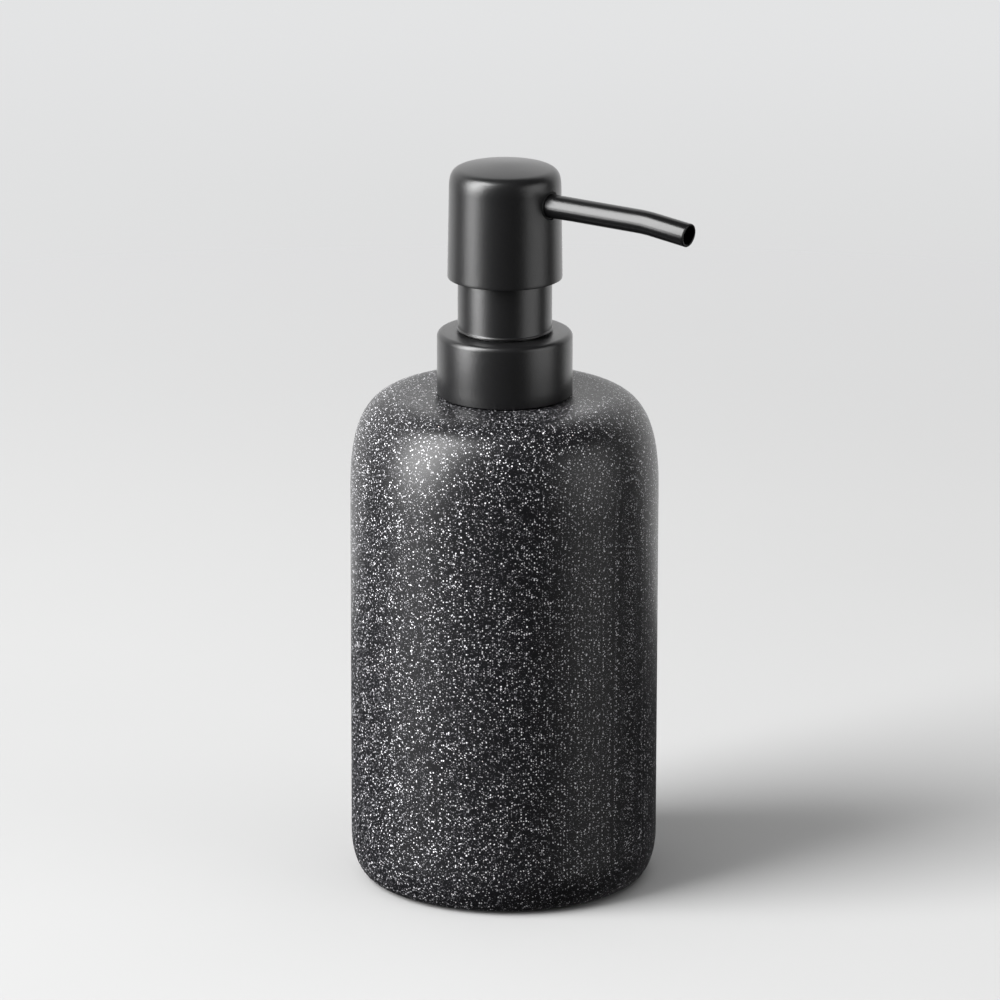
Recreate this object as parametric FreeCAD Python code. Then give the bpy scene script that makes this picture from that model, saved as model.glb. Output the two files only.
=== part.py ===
import FreeCAD, Part

import math
import os

from FreeCAD import Vector

# Soap pump dispenser: a cast bottle with a screw-on hand pump.
# Millimetres. The bottle's axis is the Z axis, Z = 0 is the surface it stands on, and the spout
# points along +X. Radial sizes build outwards from the pump stem, and heights build upwards
# from the surface, so that every piece follows the piece it fits to.

# ---------------------------------------------------------------------------------------------
# Fits shared by many pieces
running_gap = 0.05            # radial gap of a piece that slides or turns on another
shell_fit = 0.05              # radial gap between a drawn metal shell and the plastic inside it
glue_gap = 0.1                # radial gap filled by glue
overcut = 1.0                 # how far a cutting shape runs past what it cuts

# Bottle
bottle_radius = 38.0
bottle_height = 123.0         # from the foot to the top of the shoulder
bottle_wall = 4.5
bottle_floor = 6.0
bottle_roof = 5.5             # thickness of the top around the mouth
foot_reach = 4.5              # how far the rounded lower edge goes in
foot_rise = 10.5              # and up
shoulder_reach = 13.1         # how far the shoulder goes in
shoulder_rise = 23.5          # and down
shoulder_fullness = 0.69      # 0.55 would be a quarter ellipse, more is squarer
cavity_corner = 5.0

# Foam pad under the bottle
pad_margin = 4.3              # from the edge of the foot to the pad's recess
pad_thickness = 1.5
pad_proud = 0.5               # how far the pad stands below the foot
pad_clearance = 0.2

# Pump stem, spring and chamber, from the axis outwards
stem_bore_radius = 1.5
stem_radius = 3.6
seat_wall = 0.7
spring_inner_gap = 0.2
spring_wire = 1.0
spring_outer_gap = 1.0
spring_turns = 9
housing_wall = 1.2
piston_wall = 1.6
piston_length = 9.5
piston_lip = 1.4

# Neck and closure thread, 28 mm with six turns to the inch
neck_clearance = 3.0          # between the housing and the neck's bore
neck_wall = 1.85
neck_edge = 0.46              # bevel at the neck's top
thread_pitch = 25.4 / 6
thread_depth = 1.15
thread_root_width = 2.4
thread_crest_width = 1.2
closure_crest_width = 0.9     # of the closure's ridge, whose flanks match the neck's
thread_base = 3.5             # from the bottle's top to the middle of the first turn
thread_headroom = 2.2         # from the middle of the last turn to the neck's top
thread_radial_play = 0.35
thread_axial_play = 0.15
thread_sunk = 0.3             # how far a ridge's root runs into its wall, so that the two fuse
insert_spigot_wall = 2.4
insert_spigot_overhang = 1.5  # how far the spigot reaches below the bottle's roof
insert_flange_lip = 1.8
insert_flange_thickness = 1.5

# Collar: threaded closure in a metal shell
collar_gap = 0.3
collar_height = 15.55
collar_shell_wall = 0.6
collar_edge = 1.3
closure_wall = 1.96
closure_plate = 1.6
closure_recess = 0.3          # how far the closure stops short of the shell's lower rim
turning_gap = 0.3             # between the closure and the crown it turns on

# Housing flange and its gasket
flange_thickness = 1.3
flange_lip = 0.15             # how much less the flange reaches than the neck
flange_gap = 0.15
gasket_thickness = 1.2

# Lock ring, crown and sleeve
boss_wall = 1.8               # of the head's socket around the stem
boss_gap = 0.8                # between that socket and the lock ring
lock_tube_wall = 1.2
crown_wall = 2.0
lock_skirt_wall = 1.565
lock_ring_gap = 0.25          # between the lock ring and the collar below it
guide_length = 3.5
guide_rise = 4.0              # from the flange to the bottom of the guide
crown_rise = 9.4
lock_web = 1.6
sleeve_wall = 0.5
sleeve_gap = 0.6
sleeve_lip = 0.25
sleeve_lip_height = 0.5

# Head
stroke = 12.0
rim_gap = 1.7                 # left between the head's rim and the collar at full stroke
sleeve_overlap = 2.95         # how far the sleeve reaches up inside the head at rest
head_clearance = 0.63         # left above the sleeve at full stroke
head_side_gap = 0.485
head_skirt_wall = 0.85
head_skirt_recess = 1.6       # how far the core's skirt stops short of the shell's rim
head_shell_wall = 0.9
head_taper = 0.36             # radius lost between the rim and the rounded edge
head_cap = 8.79               # from the spout's axis to the top
head_edge_reach = 2.8
head_edge_rise = 4.37
head_edge_fullness = 0.75
head_dome = 1.18
head_core_gap = 2.2           # between the core and the top of the shell
boss_end_gap = 1.2
stem_in_boss = 9.3
web_thickness = 1.8
rib_thickness = 1.2
rib_count = 6

# Spout
spout_radius = 2.92
spout_bore_radius = 2.32
spout_boss_radius = 4.2
spout_socket_start = 3.4      # inner end of the tube, from the pump's axis
spout_straight = 39.1         # from the pump's axis to the bend
spout_bend_radius = 44.0
spout_droop = 6.5             # degrees
spout_end_length = 10.0
spout_hole_gap = 0.6          # radial gap between the tube and the hole in the shell
spout_seal_play = 0.1
spout_seal_recess = 0.5
spout_seal_depth = 1.0        # how far the seal reaches into the core

# Valves
ball_lift = 1.5
inlet_ball_radius = 2.38
outlet_ball_radius = 2.0
outlet_ball_lift = 1.2
ball_side_gap = 0.65
ball_seat_gap = 0.03
seat_half_angle = 28.0        # degrees from the axis
cage_wall = 1.0
cage_flange = 1.2
cage_slot = 1.6
stop_slot_width = 2.2
inlet_bore_radius = 1.6
inlet_seat_radius = 3.2
outlet_seat_radius = 2.8
vent_radius = 0.6

# Stem stop, spring seat and housing nozzle
stop_overhang = 1.4
stop_thickness = 1.2
stop_gap = 0.1
spring_seat_flange = 2.0
spring_seat_overhang = 1.3
spring_seat_spigot = 3.0
spring_seat_floor = 1.0
spring_spare = 3.5            # length left above solid height at full stroke
nozzle_neck = 3.0
nozzle_wall = 1.4
nozzle_socket = 12.0
dip_tube_radius = 3.0
dip_tube_wall = 0.8
dip_tube_clearance = 2.0      # above the cavity's floor
dip_tube_cut = 30.0           # degrees, of the slanted end

# ---------------------------------------------------------------------------------------------
# Radii that follow from the sizes above
boss_radius = stem_radius + boss_wall
guide_recess_radius = boss_radius + boss_gap
lock_tube_radius = guide_recess_radius + lock_tube_wall
crown_inner_radius = lock_tube_radius + shell_fit
crown_radius = crown_inner_radius + crown_wall
lock_skirt_inner = crown_radius + shell_fit
sleeve_inner_radius = lock_skirt_inner + lock_skirt_wall
sleeve_radius = sleeve_inner_radius + sleeve_wall
head_skirt_inner = sleeve_radius + sleeve_lip + head_side_gap
head_core_radius = head_skirt_inner + head_skirt_wall
head_radius = head_core_radius + shell_fit + head_shell_wall
seal_start = head_core_radius - spout_seal_depth
seal_hole_radius = spout_radius + spout_hole_gap

seat_spigot_radius = stem_radius + seat_wall
cage_dome_inner = inlet_ball_radius + ball_side_gap
cage_dome_radius = cage_dome_inner + cage_wall
spring_radius = max(seat_spigot_radius, cage_dome_radius) + spring_inner_gap + spring_wire / 2
chamber_radius = spring_radius + spring_wire / 2 + spring_outer_gap
housing_radius = chamber_radius + housing_wall
neck_bore_radius = housing_radius + neck_clearance
neck_radius = neck_bore_radius + neck_wall
thread_crest_radius = neck_radius + thread_depth
closure_inner_radius = thread_crest_radius + thread_radial_play
closure_radius = closure_inner_radius + closure_wall
collar_radius = closure_radius + shell_fit + collar_shell_wall
flange_radius = neck_radius - flange_lip
insert_spigot_radius = neck_bore_radius + insert_spigot_wall
mouth_radius = insert_spigot_radius + glue_gap
insert_flange_radius = insert_spigot_radius + insert_flange_lip
foot_radius = bottle_radius - foot_reach
pad_recess_radius = foot_radius - pad_margin

# Heights, from the surface upwards
foot_z = pad_proud
bottle_top = foot_z + bottle_height
cavity_floor = foot_z + bottle_floor
collar_bottom = bottle_top + collar_gap
collar_top = collar_bottom + collar_height
closure_top = collar_top - collar_shell_wall
flange_top = closure_top - closure_plate - flange_gap
flange_bottom = flange_top - flange_thickness
neck_top = flange_bottom - gasket_thickness
thread_length = neck_top - bottle_top - thread_base - thread_headroom
lock_ring_bottom = collar_top + lock_ring_gap
sleeve_bottom = collar_top + sleeve_gap
head_rim = collar_top + rim_gap + stroke
sleeve_top = head_rim + sleeve_overlap
lock_ring_top = sleeve_top - sleeve_wall
core_floor = sleeve_top + head_clearance + stroke
spout_z = core_floor + spout_boss_radius
head_top = spout_z + head_cap
core_top = head_top - head_dome - head_core_gap

guide_bottom = flange_top + guide_rise
guide_top = guide_bottom + guide_length
crown_top = flange_top + crown_rise
boss_bottom = guide_top + boss_end_gap + stroke
stem_top = boss_bottom + stem_in_boss
stop_top = guide_bottom - stop_gap
piston_top = stop_top - stop_thickness - stop_gap
piston_bottom = piston_top - piston_length
spring_seat_top = piston_bottom - stop_gap
spring_top = spring_seat_top - spring_seat_flange
spring_seat_bottom = spring_top - spring_seat_spigot
stem_bottom = spring_seat_bottom + spring_seat_floor
spring_bottom = spring_top - stroke - spring_turns * spring_wire - spring_spare
chamber_floor = spring_bottom - cage_flange
seat_slope = math.tan(math.radians(seat_half_angle))
inlet_seat_bottom = chamber_floor - (inlet_seat_radius - inlet_bore_radius) / seat_slope
nozzle_top = inlet_seat_bottom - nozzle_neck
nozzle_bottom = nozzle_top - nozzle_socket
outlet_seat_bottom = stem_top - (outlet_seat_radius - stem_bore_radius) / seat_slope
dip_tube_bottom = cavity_floor + dip_tube_clearance


def ball_height(seat_bottom, bore_radius, ball_radius):
    """Height of a ball's centre when it rests on a conical seat above a bore."""
    apex = seat_bottom - bore_radius / seat_slope
    return apex + (ball_radius + ball_seat_gap) / math.sin(math.radians(seat_half_angle))


inlet_ball_z = ball_height(inlet_seat_bottom, inlet_bore_radius, inlet_ball_radius)
outlet_ball_z = ball_height(outlet_seat_bottom, stem_bore_radius, outlet_ball_radius)
cage_ceiling = inlet_ball_z + inlet_ball_radius + ball_lift + ball_seat_gap
outlet_ceiling = outlet_ball_z + outlet_ball_radius + outlet_ball_lift + ball_seat_gap

ORIGIN = Vector(0, 0, 0)
UP = Vector(0, 0, 1)
ALONG_SPOUT = Vector(1, 0, 0)
ROUND = 0.5523                # Bezier fullness of a quarter ellipse


# ---------------------------------------------------------------------------------------------
# Drawing helpers
class Outline:
    """A closed outline of (radius, height) points that is turned about the Z axis."""

    def __init__(self, radius, height):
        self.start = Vector(radius, 0, height)
        self.here = self.start
        self.edges = []

    def line(self, radius, height):
        """Straight run to a point."""
        end = Vector(radius, 0, height)
        self.edges.append(Part.makeLine(self.here, end))
        self.here = end
        return self

    def curve(self, corner, end, fullness=ROUND):
        """Rounded corner: leaves towards the sharp corner and arrives from it."""
        sharp = Vector(corner[0], 0, corner[1])
        finish = Vector(end[0], 0, end[1])
        first_pole = self.here + (sharp - self.here) * fullness
        second_pole = finish + (sharp - finish) * fullness
        bezier = Part.BezierCurve()
        bezier.setPoles([self.here, first_pole, second_pole, finish])
        self.edges.append(bezier.toShape())
        self.here = finish
        return self

    def turned(self):
        """Close the outline and turn it once about the axis."""
        if self.here.distanceToPoint(self.start) > 1e-6:
            self.line(self.start.x, self.start.z)
        return Part.Face(Part.Wire(self.edges)).revolve(ORIGIN, UP, 360)


def turned(points):
    """Solid of revolution from straight runs only."""
    outline = Outline(*points[0])
    for radius, height in points[1:]:
        outline.line(radius, height)
    return outline.turned()


def tube(inner_radius, outer_radius, bottom, top):
    """Plain ring."""
    return turned([(inner_radius, bottom), (outer_radius, bottom), (outer_radius, top), (inner_radius, top)])


def rod(radius, bottom, top):
    """Plain upright cylinder."""
    return Part.makeCylinder(radius, top - bottom, Vector(0, 0, bottom), UP)


def block(x_size, y_size, bottom, top):
    """Upright box centred on the axis."""
    return Part.makeBox(x_size, y_size, top - bottom, Vector(-x_size / 2, -y_size / 2, bottom))


def around(shape, angle):
    """Copy turned about the Z axis."""
    return shape.rotated(ORIGIN, UP, angle)


def thread(wall_radius, crest_radius, middle_z, root_width, crest_width, length):
    """Helical ridge on a wall, starting at +X and climbing as it turns the right-hand way."""
    inwards = crest_radius < wall_radius
    sunk = thread_sunk if inwards else -thread_sunk
    widening = (root_width - crest_width) / abs(crest_radius - wall_radius) * thread_sunk
    sunk_width = root_width + widening
    outline = [
        Vector(wall_radius + sunk, 0, middle_z - sunk_width / 2),
        Vector(crest_radius, 0, middle_z - crest_width / 2),
        Vector(crest_radius, 0, middle_z + crest_width / 2),
        Vector(wall_radius + sunk, 0, middle_z + sunk_width / 2),
    ]
    profile = Part.makePolygon(outline + outline[:1])
    helix = Part.makeHelix(thread_pitch, length, wall_radius)
    helix.translate(Vector(0, 0, middle_z))
    sweep = Part.BRepOffsetAPI.MakePipeShell(helix)
    sweep.setFrenetMode(True)
    sweep.add(profile)
    sweep.build()
    sweep.makeSolid()
    return sweep.shape()


# ---------------------------------------------------------------------------------------------
# Bottle
def bottle():
    shoulder_start = bottle_top - shoulder_rise
    flat_radius = bottle_radius - shoulder_reach
    outside = Outline(0, foot_z)
    outside.line(foot_radius, foot_z)
    outside.curve((bottle_radius, foot_z), (bottle_radius, foot_z + foot_rise))
    outside.line(bottle_radius, shoulder_start)
    outside.curve((bottle_radius, bottle_top), (flat_radius, bottle_top), shoulder_fullness)
    outside.line(0, bottle_top)

    inner_radius = bottle_radius - bottle_wall
    roof = bottle_top - bottle_roof
    inside = Outline(0, cavity_floor)
    inside.line(inner_radius - cavity_corner, cavity_floor)
    inside.curve((inner_radius, cavity_floor), (inner_radius, cavity_floor + cavity_corner))
    inside.line(inner_radius, shoulder_start)
    inside.curve((inner_radius, roof), (flat_radius, roof), shoulder_fullness)
    inside.line(0, roof)

    body = outside.turned().cut(inside.turned())
    mouth = rod(mouth_radius, roof - overcut, bottle_top + overcut)
    recess_radius = insert_flange_radius + glue_gap
    counterbore = rod(recess_radius, bottle_top - insert_flange_thickness, bottle_top + overcut)
    pad_recess = rod(pad_recess_radius, foot_z - overcut, pad_thickness)
    return body.cut(mouth).cut(counterbore).cut(pad_recess)


def base_pad():
    return rod(pad_recess_radius - pad_clearance, 0, pad_thickness)


def neck_insert():
    flange_bottom_z = bottle_top - insert_flange_thickness
    spigot_bottom = bottle_top - bottle_roof - insert_spigot_overhang
    body = turned([
        (neck_bore_radius, spigot_bottom),
        (insert_spigot_radius, spigot_bottom),
        (insert_spigot_radius, flange_bottom_z),
        (insert_flange_radius, flange_bottom_z),
        (insert_flange_radius, bottle_top),
        (neck_radius, bottle_top),
        (neck_radius, neck_top - neck_edge),
        (neck_radius - neck_edge, neck_top),
        (neck_bore_radius, neck_top),
    ])
    ridge = thread(neck_radius, thread_crest_radius, bottle_top + thread_base,
                   thread_root_width, thread_crest_width, thread_length)
    return body.fuse(ridge)


# ---------------------------------------------------------------------------------------------
# Collar
def closure():
    crest_radius = neck_radius + thread_radial_play
    body = turned([
        (closure_inner_radius, collar_bottom + closure_recess),
        (closure_radius, collar_bottom + closure_recess),
        (closure_radius, closure_top - collar_edge),
        (closure_radius - collar_edge, closure_top),
        (crown_radius + turning_gap, closure_top),
        (crown_radius + turning_gap, closure_top - closure_plate),
        (closure_inner_radius, closure_top - closure_plate),
    ])
    # The closure's ridge hangs under the neck's, flank to flank, when the closure is tight.
    flank_slope = (thread_root_width - thread_crest_width) / 2 / thread_depth
    root_width = closure_crest_width + 2 * flank_slope * thread_depth
    ridge_offset = (thread_root_width + closure_crest_width) / 2 - flank_slope * thread_radial_play
    ridge = thread(closure_inner_radius, crest_radius,
                   bottle_top + thread_base - ridge_offset - thread_axial_play,
                   root_width, closure_crest_width, thread_length)
    return body.fuse(ridge)


def collar_shell():
    inner_radius = collar_radius - collar_shell_wall
    inner_edge = collar_edge - collar_shell_wall
    hole_radius = crown_radius + turning_gap + shell_fit
    outline = Outline(inner_radius, collar_bottom)
    outline.line(collar_radius, collar_bottom)
    outline.line(collar_radius, collar_top - collar_edge)
    outline.curve((collar_radius, collar_top), (collar_radius - collar_edge, collar_top))
    outline.line(hole_radius, collar_top)
    outline.line(hole_radius, closure_top)
    outline.line(inner_radius - inner_edge, closure_top)
    outline.curve((inner_radius, closure_top), (inner_radius, closure_top - inner_edge))
    return outline.turned()


# ---------------------------------------------------------------------------------------------
# Pump body
def gasket():
    return tube(housing_radius + shell_fit, flange_radius, neck_top, flange_bottom)


def housing():
    nozzle_radius = dip_tube_radius + nozzle_wall
    outside = turned([
        (0, nozzle_bottom),
        (nozzle_radius, nozzle_bottom),
        (nozzle_radius, nozzle_top),
        (housing_radius, chamber_floor - housing_wall),
        (housing_radius, flange_bottom),
        (flange_radius, flange_bottom),
        (flange_radius, flange_top),
        (crown_radius, flange_top),
        (crown_radius, crown_top),
        (0, crown_top),
    ])
    inside = turned([
        (0, nozzle_bottom - overcut),
        (dip_tube_radius, nozzle_bottom - overcut),
        (dip_tube_radius, nozzle_top),
        (inlet_bore_radius, nozzle_top),
        (inlet_bore_radius, inlet_seat_bottom),
        (inlet_seat_radius, chamber_floor),
        (chamber_radius, chamber_floor),
        (chamber_radius, guide_bottom),
        (crown_inner_radius, guide_bottom),
        (crown_inner_radius, crown_top + overcut),
        (0, crown_top + overcut),
    ])
    vent_z = piston_top - piston_length / 2
    vent = Part.makeCylinder(vent_radius, housing_radius * 2, Vector(0, 0, vent_z), Vector(0, 1, 0))
    return outside.cut(inside).cut(vent)


def dip_tube():
    whole = tube(dip_tube_radius - dip_tube_wall, dip_tube_radius, dip_tube_bottom, nozzle_top)
    cutter_size = dip_tube_radius * 8
    cutter = block(cutter_size, cutter_size, -cutter_size, 0)
    cutter.rotate(ORIGIN, Vector(0, 1, 0), -dip_tube_cut)
    cut_rise = dip_tube_radius * math.tan(math.radians(dip_tube_cut))
    cutter.translate(Vector(0, 0, dip_tube_bottom + cut_rise))
    return whole.cut(cutter)


def inlet_ball():
    return Part.makeSphere(inlet_ball_radius, Vector(0, 0, inlet_ball_z))


def ball_cage():
    cage = turned([
        (cage_dome_inner, chamber_floor),
        (chamber_radius, chamber_floor),
        (chamber_radius, spring_bottom),
        (cage_dome_radius, spring_bottom),
        (cage_dome_radius, cage_ceiling + cage_wall),
        (0, cage_ceiling + cage_wall),
        (0, cage_ceiling),
        (cage_dome_inner, cage_ceiling),
    ])
    slot = block(cage_dome_radius * 3, cage_slot, spring_bottom, cage_ceiling)
    return cage.cut(slot).cut(around(slot, 90))


def spring():
    length = spring_top - spring_bottom
    helix = Part.makeHelix(length / spring_turns, length, spring_radius)
    helix.translate(Vector(0, 0, spring_bottom))
    coil_start = Vector(spring_radius, 0, spring_bottom)
    section = Part.Wire(Part.makeCircle(spring_wire / 2, coil_start, Vector(0, 1, 0)))
    sweep = Part.BRepOffsetAPI.MakePipeShell(helix)
    sweep.setFrenetMode(True)
    sweep.add(section)
    sweep.build()
    sweep.makeSolid()
    ground = rod(chamber_radius * 2, spring_bottom, spring_top)
    return sweep.shape().common(ground)


def lock_ring():
    return turned([
        (stem_radius + running_gap, guide_bottom),
        (lock_tube_radius, guide_bottom),
        (lock_tube_radius, crown_top),
        (lock_skirt_inner, crown_top),
        (lock_skirt_inner, lock_ring_bottom),
        (sleeve_inner_radius, lock_ring_bottom),
        (sleeve_inner_radius, lock_ring_top),
        (lock_skirt_inner, lock_ring_top),
        (lock_skirt_inner, crown_top + lock_web),
        (lock_tube_radius, crown_top + lock_web),
        (lock_tube_radius, lock_ring_top),
        (guide_recess_radius, lock_ring_top),
        (guide_recess_radius, guide_top),
        (stem_radius + running_gap, guide_top),
    ])


def sleeve():
    hem_top = sleeve_bottom + sleeve_lip_height
    return turned([
        (sleeve_inner_radius, sleeve_bottom),
        (sleeve_radius + sleeve_lip, sleeve_bottom),
        (sleeve_radius + sleeve_lip, sleeve_bottom + sleeve_lip_height / 2),
        (sleeve_radius, hem_top),
        (sleeve_radius, sleeve_top),
        (guide_recess_radius, sleeve_top),
        (guide_recess_radius, lock_ring_top),
        (sleeve_inner_radius, lock_ring_top),
    ])


# ---------------------------------------------------------------------------------------------
# Piston and stem
def piston():
    inner_radius = stem_radius + running_gap
    lip_radius = chamber_radius - running_gap
    waist_radius = inner_radius + piston_wall
    return turned([
        (inner_radius, piston_bottom),
        (lip_radius, piston_bottom),
        (lip_radius, piston_bottom + piston_lip),
        (waist_radius, piston_bottom + 2 * piston_lip),
        (waist_radius, piston_top - 2 * piston_lip),
        (lip_radius, piston_top - piston_lip),
        (lip_radius, piston_top),
        (inner_radius, piston_top),
    ])


def stem():
    stop_radius = stem_radius + stop_overhang
    return turned([
        (stem_bore_radius, stem_bottom),
        (stem_radius, stem_bottom),
        (stem_radius, stop_top - stop_thickness),
        (stop_radius, stop_top - stop_thickness),
        (stop_radius, stop_top),
        (stem_radius, stop_top),
        (stem_radius, stem_top),
        (outlet_seat_radius, stem_top),
        (stem_bore_radius, outlet_seat_bottom),
    ])


def spring_seat():
    flange = stem_radius + spring_seat_overhang + seat_wall
    return turned([
        (stem_bore_radius, spring_seat_bottom),
        (seat_spigot_radius, spring_seat_bottom),
        (seat_spigot_radius, spring_top),
        (flange, spring_top),
        (flange, spring_seat_top),
        (stem_radius, spring_seat_top),
        (stem_radius, stem_bottom),
        (stem_bore_radius, stem_bottom),
    ])


def outlet_ball():
    return Part.makeSphere(outlet_ball_radius, Vector(0, 0, outlet_ball_z))


# ---------------------------------------------------------------------------------------------
# Head
def head_form(inset, bottom):
    """Solid of the head's outer form, drawn in by an inset and cut off at a height."""
    top = head_top - inset
    upper_radius = head_radius - head_taper - inset
    dome_radius = upper_radius - head_edge_reach
    dome_edge = top - head_dome
    corner = dome_edge - head_edge_reach * head_dome / (dome_radius / 2)
    form = Outline(0, head_rim)
    form.line(head_radius - inset, head_rim)
    form.line(upper_radius, corner - head_edge_rise)
    form.curve((upper_radius, corner), (dome_radius, dome_edge), head_edge_fullness)
    form.curve((dome_radius / 2, top), (0, top))
    return form.turned().common(rod(head_radius * 2, bottom, head_top))


def spoutwise(radius, start, length):
    """Cylinder on the spout's axis, from a distance off the pump's axis."""
    return Part.makeCylinder(radius, length, Vector(start, 0, spout_z), ALONG_SPOUT)


def head_shell():
    hollow = head_form(head_shell_wall, head_rim)
    return head_form(0, head_rim).cut(hollow).cut(spoutwise(seal_hole_radius, 0, head_radius * 2))


def head_core():
    hub_radius = boss_radius + rib_thickness
    ball_room_radius = outlet_ball_radius + ball_side_gap
    within = head_form(head_shell_wall + shell_fit, head_rim + head_skirt_recess)
    solid = within.cut(rod(head_core_radius - head_skirt_wall, head_rim, head_top))
    solid = solid.fuse(within.common(rod(head_radius, core_floor, core_floor + web_thickness)))
    rib = Part.makeBox(head_core_radius, rib_thickness, core_top - core_floor,
                       Vector(0, -rib_thickness / 2, core_floor))
    for index in range(rib_count):
        solid = solid.fuse(within.common(around(rib, (index + 0.5) * 360 / rib_count)))
    solid = solid.fuse(rod(hub_radius, core_floor, core_top))
    solid = solid.fuse(rod(boss_radius, boss_bottom, core_floor + overcut))
    solid = solid.fuse(within.common(spoutwise(spout_boss_radius, 0, head_radius)))
    solid = solid.cut(rod(head_radius * 2, core_top, head_top + overcut))

    hollows = [
        rod(stem_radius, boss_bottom - overcut, stem_top),
        rod(ball_room_radius, stem_top - overcut, outlet_ceiling),
        block(ball_room_radius * 2, stop_slot_width, stem_top, spout_z),
        spoutwise(spout_bore_radius, -spout_bore_radius, spout_socket_start + spout_bore_radius),
        spoutwise(spout_radius, spout_socket_start, head_radius),
        spoutwise(seal_hole_radius, seal_start, head_radius),
    ]
    for hollow in hollows:
        solid = solid.cut(hollow)
    return solid.removeSplitter()


def spout_path():
    """Centre line of the tube: straight, a gentle bend down, and straight again."""
    start = Vector(spout_socket_start, 0, spout_z)
    bend_start = Vector(spout_straight, 0, spout_z)
    bend_centre = Vector(spout_straight, 0, spout_z - spout_bend_radius)

    def on_bend(angle):
        turn = math.radians(angle)
        return bend_centre + Vector(math.sin(turn), 0, math.cos(turn)) * spout_bend_radius

    bend_end = on_bend(spout_droop)
    droop = math.radians(spout_droop)
    tip = bend_end + Vector(math.cos(droop), 0, -math.sin(droop)) * spout_end_length
    bend = Part.Arc(bend_start, on_bend(spout_droop / 2), bend_end).toShape()
    return Part.Wire([Part.makeLine(start, bend_start), bend, Part.makeLine(bend_end, tip)])


def spout_tube():
    start = Vector(spout_socket_start, 0, spout_z)
    outer = Part.makeCircle(spout_radius, start, ALONG_SPOUT)
    inner = Part.makeCircle(spout_bore_radius, start, ALONG_SPOUT)
    solid_rod = spout_path().makePipe(Part.Face(Part.Wire(outer)))
    bore = spout_path().makePipe(Part.Face(Part.Wire(inner)))
    return solid_rod.cut(bore)


def spout_seal():
    end = head_radius - spout_seal_recess
    ring = spoutwise(seal_hole_radius - spout_seal_play, seal_start, end - seal_start)
    return ring.cut(spoutwise(spout_radius, 0, end))


# ---------------------------------------------------------------------------------------------
SUBPARTS = [
    bottle, base_pad, neck_insert,
    closure, collar_shell,
    gasket, housing, dip_tube, ball_cage, spring, lock_ring, sleeve,
    inlet_ball,
    piston,
    stem, spring_seat, outlet_ball,
    head_core, head_shell, spout_tube, spout_seal,
]

os.makedirs("parts", exist_ok=True)
for make in SUBPARTS:
    shape = make()
    if not shape.isValid() or len(shape.Solids) != 1:
        raise ValueError(f"{make.__name__}: {len(shape.Solids)} solids, valid {shape.isValid()}")
    shape.Solids[0].exportStep(f"parts/{make.__name__}.step")
    box = shape.BoundBox
    print(f"{make.__name__}: {shape.Volume:.1f} mm3, Z {box.ZMin:.2f} to {box.ZMax:.2f}")
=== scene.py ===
import math

import bmesh
import bpy
from mathutils import Matrix, Vector


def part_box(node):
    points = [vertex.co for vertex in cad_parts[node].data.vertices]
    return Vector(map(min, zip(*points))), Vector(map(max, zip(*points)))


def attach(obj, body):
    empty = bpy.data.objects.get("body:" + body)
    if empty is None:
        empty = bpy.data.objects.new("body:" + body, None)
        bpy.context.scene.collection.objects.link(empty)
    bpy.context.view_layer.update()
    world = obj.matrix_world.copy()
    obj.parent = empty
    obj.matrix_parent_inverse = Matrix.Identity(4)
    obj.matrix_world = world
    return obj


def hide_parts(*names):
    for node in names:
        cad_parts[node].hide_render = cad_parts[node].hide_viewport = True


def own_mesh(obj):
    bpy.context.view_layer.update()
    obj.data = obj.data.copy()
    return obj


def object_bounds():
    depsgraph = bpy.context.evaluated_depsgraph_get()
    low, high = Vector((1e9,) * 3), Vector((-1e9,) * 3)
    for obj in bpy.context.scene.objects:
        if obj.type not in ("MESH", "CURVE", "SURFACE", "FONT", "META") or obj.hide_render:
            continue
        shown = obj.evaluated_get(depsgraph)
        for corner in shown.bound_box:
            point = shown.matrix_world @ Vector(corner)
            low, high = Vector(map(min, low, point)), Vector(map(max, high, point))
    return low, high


# Looks of the soap pump dispenser. Metres; the bottle's axis is Z and the spout points along +X.
# Pieces that show are built finely here, inside the boxes of the CAD nodes that they stand for;
# hidden pieces keep their CAD shape and get a finished material.

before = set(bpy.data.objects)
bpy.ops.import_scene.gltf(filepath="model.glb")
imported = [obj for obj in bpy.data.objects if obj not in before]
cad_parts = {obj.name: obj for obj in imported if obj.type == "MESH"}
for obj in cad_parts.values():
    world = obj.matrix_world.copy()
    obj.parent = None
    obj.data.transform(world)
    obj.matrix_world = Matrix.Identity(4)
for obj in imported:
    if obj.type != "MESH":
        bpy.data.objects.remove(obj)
cad_box = [list(corner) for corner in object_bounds()]

MM = 0.001
TURN_STEPS = 256              # facets round a turned piece
ON_AXIS = 1e-7                # radius below which a point of an outline is on the axis
ROUND = 0.5523                # Bezier fullness of a quarter ellipse
SHARP_ANGLE = math.radians(40)  # edges that bend more than this stay sharp


# ---------------------------------------------------------------------------------------------
# Outlines of turned pieces: lists of (radius, height) points
def corner(start, sharp, end, fullness=ROUND, count=16):
    """Points of a rounded corner: it leaves start towards a sharp corner and comes to end from it."""
    start, sharp, end = Vector(start), Vector(sharp), Vector(end)
    first_pole = start.lerp(sharp, fullness)
    second_pole = end.lerp(sharp, fullness)
    points = []
    for step in range(count + 1):
        t = step / count
        s = 1 - t
        near_start = s ** 3 * start + 3 * s * s * t * first_pole
        points.append(tuple(near_start + 3 * s * t * t * second_pole + t ** 3 * end))
    return points


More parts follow.
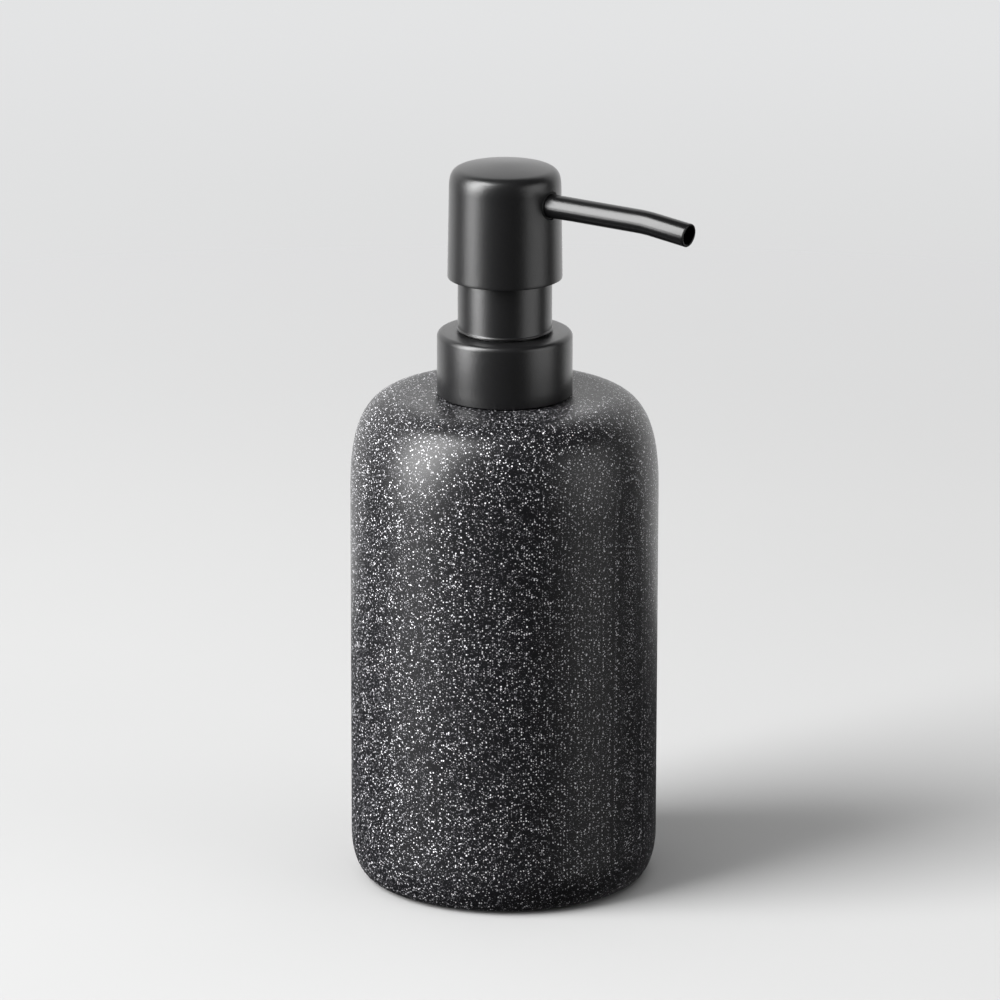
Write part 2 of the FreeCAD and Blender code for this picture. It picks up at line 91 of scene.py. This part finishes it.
def eased(points):
    """Outline of straight runs whose corners are rounded: each point is (radius, height, rounding)."""
    outline = []
    for index, (radius, height, rounding) in enumerate(points):
        here = Vector((radius, height))
        if rounding == 0:
            outline.append(tuple(here))
            continue
        before = Vector(points[index - 1][:2])
        after = Vector(points[(index + 1) % len(points)][:2])
        start = here + (before - here).normalized() * rounding
        end = here + (after - here).normalized() * rounding
        outline += corner(start, here, end, count=5)
    return outline


def dense(outline, longest):
    """The outline with its long runs divided, so that a later cut leaves even faces."""
    points = [outline[0]]
    for here, after in zip(outline, outline[1:]):
        pieces = max(1, math.ceil(math.dist(here, after) / longest))
        points += [tuple(Vector(here).lerp(Vector(after), step / pieces)) for step in range(1, pieces + 1)]
    return points


# ---------------------------------------------------------------------------------------------
# Mesh building
def finish_mesh(name, mesh_data, body, material):
    """Turns a bmesh into a smooth-shaded object that rides on a body."""
    bmesh.ops.recalc_face_normals(mesh_data, faces=mesh_data.faces)
    mesh = bpy.data.meshes.new(name)
    mesh_data.to_mesh(mesh)
    mesh_data.free()
    mesh.shade_smooth()
    mesh.set_sharp_from_angle(angle=SHARP_ANGLE)
    piece = bpy.data.objects.new(name, mesh)
    bpy.context.scene.collection.objects.link(piece)
    piece.data.materials.append(material)
    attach(piece, body)
    return piece


def skin_rings(mesh_data, rings, closed):
    """Faces between neighbouring rings of vertices; a ring of one vertex is a point on the axis."""
    pairs = list(zip(rings, rings[1:]))
    if closed:
        pairs.append((rings[-1], rings[0]))
    for lower, upper in pairs:
        count = max(len(lower), len(upper))
        for step in range(count):
            after = (step + 1) % count
            quad = [lower[step % len(lower)], lower[after % len(lower)],
                    upper[after % len(upper)], upper[step % len(upper)]]
            mesh_data.faces.new(list(dict.fromkeys(quad)))


def turned(outline, closed):
    """Bmesh of an outline turned about Z: a closed one makes a ring, an open one ends on the axis."""
    mesh_data = bmesh.new()
    rings = []
    for radius, height in outline:
        if radius < ON_AXIS:
            rings.append([mesh_data.verts.new((0, 0, height))])
            continue
        ring = []
        for step in range(TURN_STEPS):
            angle = 2 * math.pi * step / TURN_STEPS
            ring.append(mesh_data.verts.new((radius * math.cos(angle), radius * math.sin(angle), height)))
        rings.append(ring)
    skin_rings(mesh_data, rings, closed)
    return mesh_data


def circle(radius, count):
    """Points of a circle."""
    angles = [2 * math.pi * step / count for step in range(count)]
    return [(radius * math.cos(angle), radius * math.sin(angle)) for angle in angles]


def apply_modifiers(piece):
    """Replaces a piece's mesh with its modified form."""
    depsgraph = bpy.context.evaluated_depsgraph_get()
    mesh = bpy.data.meshes.new_from_object(piece.evaluated_get(depsgraph))
    piece.modifiers.clear()
    piece.data = mesh


# ---------------------------------------------------------------------------------------------
# Node materials
FLECK_SHIFT = 1.5             # how far noise moves the outline of a fleck, in radii of the largest one
FLECK_RAGGEDNESS = 1.3        # size of that noise, in the same radii


def shade(colour, factor):
    """The colour, made darker or lighter."""
    return tuple(part * factor for part in colour)


class Finish:
    """A material whose nodes work on object coordinates, in metres."""

    def __init__(self, name):
        self.material = bpy.data.materials.new(name)
        self.material.use_nodes = True
        self.tree = self.material.node_tree
        self.shader = self.tree.nodes["Principled BSDF"]
        self.place = self.tree.nodes.new("ShaderNodeTexCoord").outputs["Object"]

    def set(self, **values):
        """Constants on the shader's own sockets, with underscores for spaces."""
        for name, value in values.items():
            self.shader.inputs[name.replace("_", " ")].default_value = value
        return self

    def join(self, source, target):
        self.tree.links.new(source, target)

    def noise(self, size, detail, roughness=0.5):
        """Noise with features of about the given size in metres."""
        node = self.tree.nodes.new("ShaderNodeTexNoise")
        node.inputs["Scale"].default_value = 1 / size
        node.inputs["Detail"].default_value = detail
        node.inputs["Roughness"].default_value = roughness
        self.join(self.place, node.inputs["Vector"])
        return node.outputs["Fac"]

    def math(self, operation, *values, clamp=False):
        """Result of a math node; each value is a number or a socket."""
        node = self.tree.nodes.new("ShaderNodeMath")
        node.operation = operation
        node.use_clamp = clamp
        for socket, value in zip(node.inputs, values):
            if isinstance(value, (int, float)):
                socket.default_value = value
            else:
                self.join(value, socket)
        return node.outputs[0]

    def spread(self, source, low, high):
        """Maps 0..1 to low..high, held at the ends."""
        node = self.tree.nodes.new("ShaderNodeMapRange")
        node.inputs["To Min"].default_value = low
        node.inputs["To Max"].default_value = high
        self.join(source, node.inputs["Value"])
        return node.outputs["Result"]

    def vary_roughness(self, source, low, high):
        """Roughness from low to high over the surface."""
        self.join(self.spread(source, low, high), self.shader.inputs["Roughness"])

    def mix(self, factor, low_colour, high_colour):
        """Blend of two colours, each of them a tuple or a socket."""
        node = self.tree.nodes.new("ShaderNodeMix")
        node.data_type = "RGBA"
        self.join(factor, node.inputs["Factor"])
        for socket, colour in ((node.inputs[6], low_colour), (node.inputs[7], high_colour)):
            if isinstance(colour, tuple):
                socket.default_value = (*colour, 1)
            else:
                self.join(colour, socket)
        return node.outputs[2]

    def bump(self, height, depth, strength):
        """Relief from a 0..1 height; the depth is in metres."""
        node = self.tree.nodes.new("ShaderNodeBump")
        node.inputs["Distance"].default_value = depth
        node.inputs["Strength"].default_value = strength
        self.join(height, node.inputs["Height"])
        self.join(node.outputs["Normal"], self.shader.inputs["Normal"])

    def shifted(self, distance, size, offset):
        """The place, moved about by noise so that round shapes become ragged."""
        noise = self.tree.nodes.new("ShaderNodeTexNoise")
        noise.inputs["Scale"].default_value = 1 / size
        self.join(self.place, noise.inputs["Vector"])
        scale = self.tree.nodes.new("ShaderNodeVectorMath")
        scale.operation = "MULTIPLY_ADD"
        scale.inputs[1].default_value = (distance,) * 3
        scale.inputs[2].default_value = Vector(offset)
        self.join(noise.outputs["Color"], scale.inputs[0])
        add = self.tree.nodes.new("ShaderNodeVectorMath")
        add.operation = "ADD"
        self.join(self.place, add.inputs[0])
        self.join(scale.outputs["Vector"], add.inputs[1])
        return add.outputs["Vector"]

    def flecks(self, spacing, smallest, largest, edge, offset):
        """Ragged flecks scattered through the body: how much of one is here, and its random shade.

        Cells whose fleck comes out smaller than nothing stay empty.
        """
        cells = self.tree.nodes.new("ShaderNodeTexVoronoi")
        cells.inputs["Scale"].default_value = 1 / spacing
        ragged = self.shifted(largest * FLECK_SHIFT, largest * FLECK_RAGGEDNESS, offset)
        self.join(ragged, cells.inputs["Vector"])
        parts = self.tree.nodes.new("ShaderNodeSeparateColor")
        self.join(cells.outputs["Color"], parts.inputs["Color"])
        size = self.spread(parts.outputs["Red"], smallest / spacing, largest / spacing)
        depth = self.math("SUBTRACT", size, cells.outputs["Distance"])
        cover = self.math("DIVIDE", depth, edge / spacing, clamp=True)
        return cover, parts.outputs["Green"]


def cast_resin():
    """Matt charcoal resin full of fine pale mineral flecks."""
    finish = Finish("cast_resin").set(Specular_IOR_Level=0.30)
    mottle = finish.noise(0.6 * MM, detail=3)
    ground = finish.mix(mottle, (0.001, 0.001, 0.0014), (0.005, 0.005, 0.0062))
    coarse, coarse_shade = finish.flecks(
        spacing=0.44 * MM, smallest=-0.08 * MM, largest=0.21 * MM, edge=0.03 * MM, offset=(0, 0, 0))
    fine, fine_shade = finish.flecks(
        spacing=0.30 * MM, smallest=-0.07 * MM, largest=0.135 * MM, edge=0.03 * MM,
        offset=(0.31, 0.17, 0.23))
    fine_tone = finish.mix(fine_shade, (0.02, 0.0195, 0.0215), (0.30, 0.295, 0.32))
    coarse_tone = finish.mix(coarse_shade, (0.05, 0.049, 0.054), (0.87, 0.865, 0.90))
    colour = finish.mix(fine, ground, fine_tone)
    colour = finish.mix(coarse, colour, coarse_tone)
    finish.join(colour, finish.shader.inputs["Base Color"])
    cover = finish.math("MAXIMUM", coarse, fine)
    finish.vary_roughness(cover, 0.38, 0.34)
    raised = finish.math("MULTIPLY", cover, 0.35)
    grain = finish.math("ADD", finish.noise(0.35 * MM, detail=3), raised)
    finish.bump(grain, depth=0.05 * MM, strength=0.5)
    return finish.material


def coated_metal(name, colour, roughness, grain_depth, specular):
    """Satin black coat with a fine powdery grain."""
    finish = Finish(name).set(Specular_IOR_Level=specular)
    grain = finish.noise(0.32 * MM, detail=4, roughness=0.65)
    wide = finish.noise(9 * MM, detail=2)
    tone = finish.mix(grain, shade(colour, 0.55), shade(colour, 1.6))
    finish.join(tone, finish.shader.inputs["Base Color"])
    mottle = finish.math("ADD", finish.math("MULTIPLY", grain, 0.7), finish.math("MULTIPLY", wide, 0.3))
    finish.vary_roughness(mottle, roughness - 0.06, roughness + 0.06)
    finish.bump(grain, grain_depth, strength=0.6)
    return finish.material


def moulded_plastic(name, colour, roughness, clear=0.0):
    """Moulded plastic with faint flow marks and a fine mould texture."""
    finish = Finish(name).set(Roughness=roughness, Specular_IOR_Level=0.5, Transmission_Weight=clear)
    flow = finish.noise(6 * MM, detail=3)
    finish.join(finish.mix(flow, shade(colour, 0.93), colour), finish.shader.inputs["Base Color"])
    texture = finish.noise(0.2 * MM, detail=2)
    finish.vary_roughness(texture, roughness - 0.05, roughness + 0.07)
    finish.bump(texture, depth=0.01 * MM, strength=0.4)
    return finish.material


def foam(name, colour):
    """Closed-cell foam: dull, with small open pores."""
    finish = Finish(name).set(Roughness=0.9, Specular_IOR_Level=0.25)
    cells = finish.tree.nodes.new("ShaderNodeTexVoronoi")
    cells.inputs["Scale"].default_value = 1 / (0.35 * MM)
    finish.join(finish.place, cells.inputs["Vector"])
    tone = finish.mix(cells.outputs["Distance"], colour, shade(colour, 0.5))
    finish.join(tone, finish.shader.inputs["Base Color"])
    finish.bump(cells.outputs["Distance"], depth=0.08 * MM, strength=0.8)
    return finish.material


def steel(name, roughness):
    """Bright drawn or rolled steel with fine lines along the part."""
    finish = Finish(name).set(Metallic=1.0)
    lines = finish.noise(0.12 * MM, detail=3)
    colour = finish.mix(lines, (0.50, 0.50, 0.51), (0.72, 0.72, 0.73))
    finish.join(colour, finish.shader.inputs["Base Color"])
    finish.vary_roughness(lines, roughness - 0.05, roughness + 0.08)
    finish.bump(lines, depth=0.004 * MM, strength=0.4)
    return finish.material


RESIN = cast_resin()
BLACK_METAL = coated_metal(
    "black_coated_metal", (0.005, 0.005, 0.0053), roughness=0.33, grain_depth=0.05 * MM, specular=0.5)
BLACK_SPOUT = coated_metal(
    "black_coated_spout", (0.004, 0.004, 0.0042), roughness=0.24, grain_depth=0.01 * MM, specular=0.34)
BLACK_PLASTIC = moulded_plastic("black_plastic", (0.012, 0.012, 0.012), roughness=0.45)
BLACK_RUBBER = moulded_plastic("black_rubber", (0.006, 0.006, 0.006), roughness=0.75)
BLACK_FOAM = foam("black_foam", (0.02, 0.02, 0.02))
WHITE_FOAM = foam("white_foam", (0.78, 0.78, 0.75))
WHITE_PLASTIC = moulded_plastic("white_plastic", (0.80, 0.80, 0.78), roughness=0.38)
SOFT_PLASTIC = moulded_plastic("soft_plastic", (0.72, 0.73, 0.73), roughness=0.42)
CLEAR_PLASTIC = moulded_plastic("natural_plastic", (0.82, 0.83, 0.83), roughness=0.30, clear=0.35)
SPRING_STEEL = steel("spring_steel", roughness=0.22)
BALL_STEEL = steel("ball_steel", roughness=0.10)


# ---------------------------------------------------------------------------------------------
# Bottle
def half_width(node):
    """Radius of a round node, from its box."""
    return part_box(node)[1].y


def make_bottle():
    """Cast bottle with its cavity, the seat of the neck insert and the recess of the pad."""
    foot_reach = 4.5 * MM
    foot_rise = 10.5 * MM
    shoulder_reach = 13.1 * MM
    shoulder_rise = 23.5 * MM
    shoulder_fullness = 0.69
    wall = 4.5 * MM
    floor = 6.0 * MM
    roof = 5.5 * MM
    cavity_corner = 5.0 * MM
    glue_gap = 0.1 * MM
    flange_thickness = 1.5 * MM
    flange_lip = 1.8 * MM
    pad_clearance = 0.2 * MM
    edge = 0.3 * MM

    low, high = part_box("bottle")
    radius = high.y
    pad_radius = half_width("base_pad") + pad_clearance
    pad_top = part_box("base_pad")[1].z
    counterbore = half_width("neck_insert") + glue_gap
    mouth = counterbore - flange_lip
    shoulder_start = high.z - shoulder_rise
    flat = radius - shoulder_reach
    inner = radius - wall
    ceiling = high.z - roof
    cavity_floor = low.z + floor
    ledge = high.z - flange_thickness

    outline = [(0, pad_top), (pad_radius, pad_top), (pad_radius, low.z + edge)]
    outline += corner((pad_radius, low.z + edge), (pad_radius, low.z), (pad_radius + edge, low.z), count=4)
    outline += corner((radius - foot_reach, low.z), (radius, low.z), (radius, low.z + foot_rise), count=28)
    outline += corner((radius, shoulder_start), (radius, high.z), (flat, high.z),
                      shoulder_fullness, count=40)
    outline += corner((counterbore + edge, high.z), (counterbore, high.z),
                      (counterbore, high.z - edge), count=4)
    outline += [(counterbore, ledge), (mouth, ledge), (mouth, ceiling)]
    outline += corner((flat, ceiling), (inner, ceiling), (inner, shoulder_start),
                      shoulder_fullness, count=24)
    outline += corner((inner, cavity_floor + cavity_corner), (inner, cavity_floor),
                      (inner - cavity_corner, cavity_floor), count=12)
    outline.append((0, cavity_floor))
    bottle = finish_mesh("cast_bottle", turned(outline, closed=False), "bottle", RESIN)
    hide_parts("bottle")


def make_base_pad():
    """Foam pad under the bottle."""
    lower_edge = 0.35 * MM
    upper_edge = 0.2 * MM
    low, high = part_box("base_pad")
    outline = eased([
        (0, low.z, 0),
        (high.y, low.z, lower_edge),
        (high.y, high.z, upper_edge),
        (0, high.z, 0),
    ])
    pad = finish_mesh("foam_base_pad", turned(outline, closed=False), "bottle", BLACK_FOAM)
    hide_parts("base_pad")


# ---------------------------------------------------------------------------------------------
# Collar and sleeve
def make_collar():
    """Drawn shell that covers the closure."""
    wall = 0.6 * MM
    edge = 1.3 * MM
    rim = 0.15 * MM
    sleeve_overlap = 1.815 * MM   # how far the roof reaches in under the sleeve
    low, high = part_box("collar_shell")
    radius = high.y
    hole = half_width("sleeve") - sleeve_overlap
    outline = eased([
        (radius - wall, low.z, rim),
        (radius, low.z, rim),
        (radius, high.z, edge),
        (hole, high.z, rim),
        (hole, high.z - wall, rim),
        (radius - wall, high.z - wall, edge - wall),
    ])
    collar = finish_mesh(
        "collar_cover", turned(outline, closed=True), "collar", BLACK_METAL)
    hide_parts("collar_shell")


def make_sleeve():
    """Sleeve round the pump, with a small flared hem."""
    wall = 0.5 * MM
    hem = 0.25 * MM
    hem_height = 0.5 * MM
    roof_reach = 5.3 * MM         # from the side in to the mouth
    foot_edge = 0.1 * MM
    hem_edge = 0.12 * MM
    fine_edge = 0.15 * MM
    top_edge = 0.45 * MM
    low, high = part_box("sleeve")
    radius = high.y - hem
    mouth = radius - roof_reach
    outline = eased([
        (radius - wall, low.z, foot_edge),
        (high.y, low.z, hem_edge),
        (high.y, low.z + hem_height / 2, hem_edge),
        (radius, low.z + hem_height, fine_edge),
        (radius, high.z, top_edge),
        (mouth, high.z, fine_edge),
        (mouth, high.z - wall, fine_edge),
        (radius - wall, high.z - wall, fine_edge),
    ])
    sleeve = finish_mesh(
        "pump_sleeve", turned(outline, closed=True), "pump_body", BLACK_METAL)
    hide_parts("sleeve")


# ---------------------------------------------------------------------------------------------
# Head
def spout_height():
    """Height of the spout's axis where it leaves the head."""
    seal_low, seal_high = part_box("spout_seal")
    return (seal_low.z + seal_high.z) / 2


def make_head():
    """Drawn cap with a rounded edge, a low dome and a hole for the spout."""
    wall = 0.9 * MM
    taper = 0.36 * MM
    edge_reach = 2.8 * MM
    edge_rise = 4.37 * MM
    edge_fullness = 0.75
    dome = 1.18 * MM
    rim = 0.18 * MM
    row_height = 0.6 * MM         # of the faces down the side
    hole_radius = 3.52 * MM
    hole_facets = 128
    low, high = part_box("head_shell")
    radius = high.y

    def surface(inset, bottom):
        """Side, rounded edge and dome, from the rim to the axis."""
        top = high.z - inset
        side = radius - taper - inset
        dome_radius = side - edge_reach
        dome_edge = (dome_radius, top - dome)
        sharp = (side, top - dome - edge_reach * dome / (dome_radius / 2))
        side_end = (side, sharp[1] - edge_rise)
        points = dense([(radius - inset, bottom), side_end], row_height)
        points += corner(side_end, sharp, dome_edge, edge_fullness, count=32)[1:]
        points += corner(dome_edge, (dome_radius / 2, top), (0, top))[1:]
        return points

    outer = surface(0, low.z + rim)
    inner = surface(wall, low.z + rim)
    rim_outer = corner((radius, low.z + rim), (radius, low.z), (radius - rim, low.z), count=4)
    rim_inner = corner((radius - wall + rim, low.z), (radius - wall, low.z),
                       (radius - wall, low.z + rim), count=4)
    outline = list(reversed(outer)) + rim_outer[1:] + rim_inner + inner[1:]
    head = finish_mesh("head_cap", turned(outline, closed=False), "actuator", BLACK_METAL)
    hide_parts("head_shell")

    drill_data = bmesh.new()
    drill_place = Matrix.Translation((radius, 0, spout_height())) @ Matrix.Rotation(math.pi / 2, 4, "Y")
    bmesh.ops.create_cone(drill_data, cap_ends=True, segments=hole_facets, radius1=hole_radius,
                          radius2=hole_radius, depth=radius, matrix=drill_place)
    drill_mesh = bpy.data.meshes.new("drill")
    drill_data.to_mesh(drill_mesh)
    drill_data.free()
    drill = bpy.data.objects.new("drill", drill_mesh)
    bpy.context.scene.collection.objects.link(drill)
    cut = head.modifiers.new("spout_hole", "BOOLEAN")
    cut.object = drill
    cut.solver = "EXACT"
    apply_modifiers(head)
    bpy.data.objects.remove(drill)
    head.data.shade_smooth()
    head.data.set_sharp_from_angle(angle=SHARP_ANGLE)


def make_spout():
    """Thin tube that runs level out of the head and bends down a little near its end."""
    straight = 39.1 * MM          # from the pump's axis to the bend
    bend_radius = 44.0 * MM
    droop = math.radians(6.5)
    end_length = 10.0 * MM
    wall = 0.6 * MM
    lip = 0.22 * MM
    facets = 96
    bend_steps = 24
    start_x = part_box("spout_tube")[0].x
    radius = half_width("spout_tube")
    bore = radius - wall
    height = spout_height()

    path = [Vector((start_x, 0, height)), Vector((straight, 0, height))]
    for step in range(1, bend_steps + 1):
        angle = droop * step / bend_steps
        along = straight + bend_radius * math.sin(angle)
        path.append(Vector((along, 0, height - bend_radius * (1 - math.cos(angle)))))
    forward = Vector((math.cos(droop), 0, -math.sin(droop)))
    tip = path[-1] + forward * end_length

    mesh_data = bmesh.new()
    rings = []

    def ring(centre, direction, ring_radius):
        sideways = Vector((0, 1, 0))
        up = sideways.cross(direction)
        points = [centre + sideways * across - up * rise for across, rise in circle(ring_radius, facets)]
        rings.append([mesh_data.verts.new(point) for point in points])

    def direction_at(index):
        before = path[max(index - 1, 0)]
        after = path[min(index + 1, len(path) - 1)]
        return (after - before).normalized()

    for index, point in enumerate(path):
        ring(point, direction_at(index), radius)
    for ring_radius, setback in corner((radius, lip), (radius, 0), (radius - lip, 0), count=5):
        ring(tip - forward * setback, forward, ring_radius)
    for ring_radius, setback in corner((bore + lip, 0), (bore, 0), (bore, lip), count=5):
        ring(tip - forward * setback, forward, ring_radius)
    for index in reversed(range(len(path))):
        ring(path[index], direction_at(index), bore)
    skin_rings(mesh_data, rings, closed=True)
    spout = finish_mesh("spout_pipe", mesh_data, "actuator", BLACK_SPOUT)
    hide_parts("spout_tube")


def make_spout_seal():
    """Dark ring round the spout at the head."""
    back_edge = 0.05 * MM
    front_edge = 0.12 * MM
    low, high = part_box("spout_seal")
    inner = half_width("spout_tube")
    outline = eased([
        (inner, low.x, back_edge),
        (high.y, low.x, back_edge),
        (high.y, high.x, front_edge),
        (inner, high.x, front_edge),
    ])
    mesh_data = turned(outline, closed=True)
    to_side = Matrix.Translation((0, 0, spout_height())) @ Matrix.Rotation(math.pi / 2, 4, "Y")
    bmesh.ops.transform(mesh_data, matrix=to_side, verts=mesh_data.verts)
    seal = finish_mesh("spout_grommet", mesh_data, "actuator", BLACK_RUBBER)
    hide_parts("spout_seal")


# ---------------------------------------------------------------------------------------------
# Spring inside the pump; the real spring flattens as the head goes down
def make_spring():
    """Coil of round wire."""
    turns = 9
    steps_per_turn = 40
    wire = 1.0 * MM
    wire_facets = 16
    low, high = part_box("spring")
    coil_radius = high.y - wire / 2
    length = high.z - low.z
    steps = turns * steps_per_turn
    mesh_data = bmesh.new()
    rings = []
    for index in range(steps + 1):
        share = index / steps
        angle = 2 * math.pi * turns * share
        centre = Vector((coil_radius * math.cos(angle), coil_radius * math.sin(angle),
                         low.z + wire / 2 + (length - wire) * share))
        outward = Vector((math.cos(angle), math.sin(angle), 0))
        section = circle(wire / 2, wire_facets)
        points = [centre + outward * across + Vector((0, 0, rise)) for across, rise in section]
        rings.append([mesh_data.verts.new(point) for point in points])
    skin_rings(mesh_data, rings, closed=False)
    mesh_data.faces.new(rings[0])
    mesh_data.faces.new(rings[-1])
    spring = finish_mesh("return_spring", mesh_data, "pump_body", SPRING_STEEL)
    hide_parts("spring")
    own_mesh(spring)


# ---------------------------------------------------------------------------------------------
# Hidden pieces keep their CAD shape
def dress_cad_nodes():
    """Finished materials for the pieces that keep their CAD shape."""
    finishes = {
        "neck_insert": WHITE_PLASTIC,
        "closure": BLACK_PLASTIC,
        "gasket": WHITE_FOAM,
        "housing": CLEAR_PLASTIC,
        "dip_tube": CLEAR_PLASTIC,
        "ball_cage": WHITE_PLASTIC,
        "lock_ring": BLACK_PLASTIC,
        "inlet_ball": BALL_STEEL,
        "piston": SOFT_PLASTIC,
        "stem": WHITE_PLASTIC,
        "spring_seat": WHITE_PLASTIC,
        "head_core": BLACK_PLASTIC,
        "outlet_ball": BALL_STEEL,
    }
    for node, material in finishes.items():
        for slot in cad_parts[node].material_slots:
            slot.material = material


# ---------------------------------------------------------------------------------------------
# Stage
CAMERA_AZIMUTH = math.radians(35.33)
CAMERA_PITCH = math.radians(16.458)
CAMERA_ROLL = math.radians(0.113)
CAMERA_DISTANCE = 1.733
CAMERA_HEIGHT = 0.608
CAMERA_ASIDE = -0.0011
CAMERA_LENS = 263.7           # mm
CAMERA_SENSOR = 36            # mm
CAMERA_REACH = 50             # m, the farthest that is drawn
WORLD_COLOUR = (1.0, 1.0, 1.0, 1)
WORLD_STRENGTH = 0.04
WORLD_SEEN = (0.77, 0.775, 0.78, 1)


def round_object(azimuth, elevation, distance, centre):
    """Point at a distance from a centre: azimuth 0 is on its -Y side, and elevation is above its level."""
    level = math.cos(elevation) * distance
    rise = math.sin(elevation) * distance
    return centre + Vector((level * math.sin(azimuth), -level * math.cos(azimuth), rise))


def make_camera():
    """Camera at the viewing angle of the photo."""
    data = bpy.data.cameras.new("camera")
    data.lens = CAMERA_LENS
    data.sensor_width = CAMERA_SENSOR
    data.clip_end = CAMERA_REACH
    camera = bpy.data.objects.new("camera", data)
    bpy.context.scene.collection.objects.link(camera)
    turn = Matrix.Rotation(CAMERA_AZIMUTH, 4, "Z")
    place = turn @ Matrix.Translation((CAMERA_ASIDE, -CAMERA_DISTANCE, CAMERA_HEIGHT))
    tilt = Matrix.Rotation(math.pi / 2 - CAMERA_PITCH, 4, "X") @ Matrix.Rotation(CAMERA_ROLL, 4, "Z")
    camera.matrix_world = place @ tilt
    bpy.context.scene.camera = camera


def soft_light(name, azimuth, elevation, distance, width, height, power, upright=False):
    """Rectangular soft light aimed at the middle of the object, or standing upright beside it.

    The azimuth is counted from the camera's; both angles are in degrees and the power is in watts.
    """
    middle = Vector((0, 0, (cad_box[0][2] + cad_box[1][2]) / 2))
    data = bpy.data.lights.new(name, "AREA")
    data.shape = "RECTANGLE"
    data.size = width
    data.size_y = height
    data.energy = power
    light = bpy.data.objects.new(name, data)
    world_azimuth = CAMERA_AZIMUTH + math.radians(azimuth)
    light.location = round_object(world_azimuth, math.radians(elevation), distance, middle)
    target = Vector((0, 0, light.location.z)) if upright else middle
    light.rotation_euler = (target - light.location).to_track_quat("-Z", "Y").to_euler()
    light.visible_camera = False
    bpy.context.scene.collection.objects.link(light)
    return light


def fade_out(finish, start, end):
    """Lets a floor fade into the surroundings between two distances from the object."""
    distance = finish.tree.nodes.new("ShaderNodeVectorMath")
    distance.operation = "LENGTH"
    finish.join(finish.place, distance.inputs[0])
    fade = finish.tree.nodes.new("ShaderNodeMapRange")
    fade.interpolation_type = "SMOOTHSTEP"
    fade.inputs["From Min"].default_value = start
    fade.inputs["From Max"].default_value = end
    finish.join(distance.outputs["Value"], fade.inputs["Value"])
    blend = finish.tree.nodes.new("ShaderNodeMixShader")
    finish.join(fade.outputs["Result"], blend.inputs["Fac"])
    finish.join(finish.shader.outputs["BSDF"], blend.inputs[1])
    finish.join(finish.tree.nodes.new("ShaderNodeBsdfTransparent").outputs["BSDF"], blend.inputs[2])
    finish.join(blend.outputs["Shader"], finish.tree.nodes["Material Output"].inputs["Surface"])


def make_floor():
    """Pale matt floor that the object's metal does not mirror."""
    half = 6.0
    mottle_size = 0.25
    fade_start = 0.22
    fade_end = 1.0
    mesh_data = bmesh.new()
    corners = [(-half, -half, 0), (half, -half, 0), (half, half, 0), (-half, half, 0)]
    mesh_data.faces.new([mesh_data.verts.new(point) for point in corners])
    mesh = bpy.data.meshes.new("floor")
    mesh_data.to_mesh(mesh)
    mesh_data.free()
    finish = Finish("pale_floor").set(Roughness=0.6, Specular_IOR_Level=0.2)
    tone = finish.mix(finish.noise(mottle_size, detail=3), (0.31, 0.31, 0.31), (0.33, 0.33, 0.33))
    finish.join(tone, finish.shader.inputs["Base Color"])
    fade_out(finish, fade_start, fade_end)
    mesh.materials.append(finish.material)
    floor = bpy.data.objects.new("floor", mesh)
    floor.visible_glossy = False
    floor.visible_diffuse = False
    floor.visible_shadow = False
    bpy.context.scene.collection.objects.link(floor)
    return floor


def link_light(light, piece, state):
    """INCLUDE lets a light fall on the piece alone, EXCLUDE on everything but the piece."""
    linked = bpy.data.collections.new(light.name + "_linked")
    linked.objects.link(piece)
    light.light_linking.receiver_collection = linked
    linked.collection_objects[0].light_linking.link_state = state


def make_world():
    """Dim surroundings that look an even pale grey where they are seen directly."""
    world = bpy.data.worlds.new("studio")
    bpy.context.scene.world = world
    world.use_nodes = True
    tree = world.node_tree
    around = tree.nodes["Background"]
    around.inputs["Color"].default_value = WORLD_COLOUR
    around.inputs["Strength"].default_value = WORLD_STRENGTH
    seen = tree.nodes.new("ShaderNodeBackground")
    seen.inputs["Color"].default_value = WORLD_SEEN
    choice = tree.nodes.new("ShaderNodeMixShader")
    tree.links.new(tree.nodes.new("ShaderNodeLightPath").outputs["Is Camera Ray"], choice.inputs["Fac"])
    tree.links.new(around.outputs["Background"], choice.inputs[1])
    tree.links.new(seen.outputs["Background"], choice.inputs[2])
    tree.links.new(choice.outputs["Shader"], tree.nodes["World Output"].inputs["Surface"])


def make_lights(floor):
    """A tall key and a low one on the left, a fill on the right, one close behind, one for the floor."""
    soft_light("key", azimuth=-67, elevation=32, distance=3.0, width=1.83, height=3.4, power=375)
    key_low = soft_light("key_low", azimuth=-70, elevation=1, distance=0.55, width=0.26, height=0.20,
                         power=1.5, upright=True)
    soft_light("fill", azimuth=66, elevation=8, distance=1.7, width=1.37, height=1.5, power=15.5)
    backdrop = soft_light("backdrop", azimuth=180, elevation=31, distance=0.233, width=0.80,
                          height=0.42, power=1.27, upright=True)
    wash = soft_light("wash", azimuth=0, elevation=88, distance=2.0, width=3.0, height=3.0, power=55)
    link_light(key_low, floor, "EXCLUDE")
    link_light(backdrop, floor, "EXCLUDE")
    link_light(wash, floor, "INCLUDE")


make_bottle()
make_base_pad()
make_collar()
make_sleeve()
make_head()
make_spout()
make_spout_seal()
make_spring()
dress_cad_nodes()

make_camera()
floor_piece = make_floor()
make_world()
make_lights(floor_piece)
bpy.context.scene.view_settings.view_transform = "Standard"
